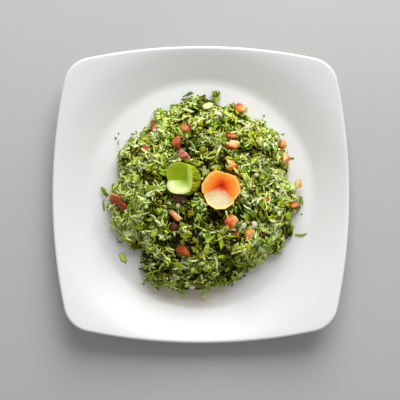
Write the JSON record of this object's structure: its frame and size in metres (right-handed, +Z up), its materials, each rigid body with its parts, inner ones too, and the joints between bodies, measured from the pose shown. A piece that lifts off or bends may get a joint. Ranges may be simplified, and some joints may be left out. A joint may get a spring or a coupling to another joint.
{
  "type": "tabbouleh salad on a plate",
  "caption": "Heap of chopped parsley salad with tomato and onion dice, topped by a carved carrot cup and a carved cucumber cup, on a deep rounded-square white porcelain plate.",
  "frame": {"origin": "middle of the plate's foot, on the table", "axes": "+Z up; -Y is the front of the plate and +X its right-hand side, each towards the middle of a side of the square rim"},
  "size_m": [0.26, 0.26, 0.0604],
  "materials": {
    "porcelain": "white glazed porcelain, glossy",
    "salad": "chopped parsley with dressing, moist",
    "carrot": "freshly cut carrot, satin",
    "cucumber": "cucumber flesh with a striped green skin, satin",
    "loose_parsley": "fallen parsley shreds, matt"
  },
  "bodies": {
    "root": {"plate": "porcelain", "salad_heap": "salad", "carrot_cup": "carrot", "cucumber_cup": "cucumber", "stray_shred": "loose_parsley", "stray_leaf": "loose_parsley"}
  },
  "joints": []
}
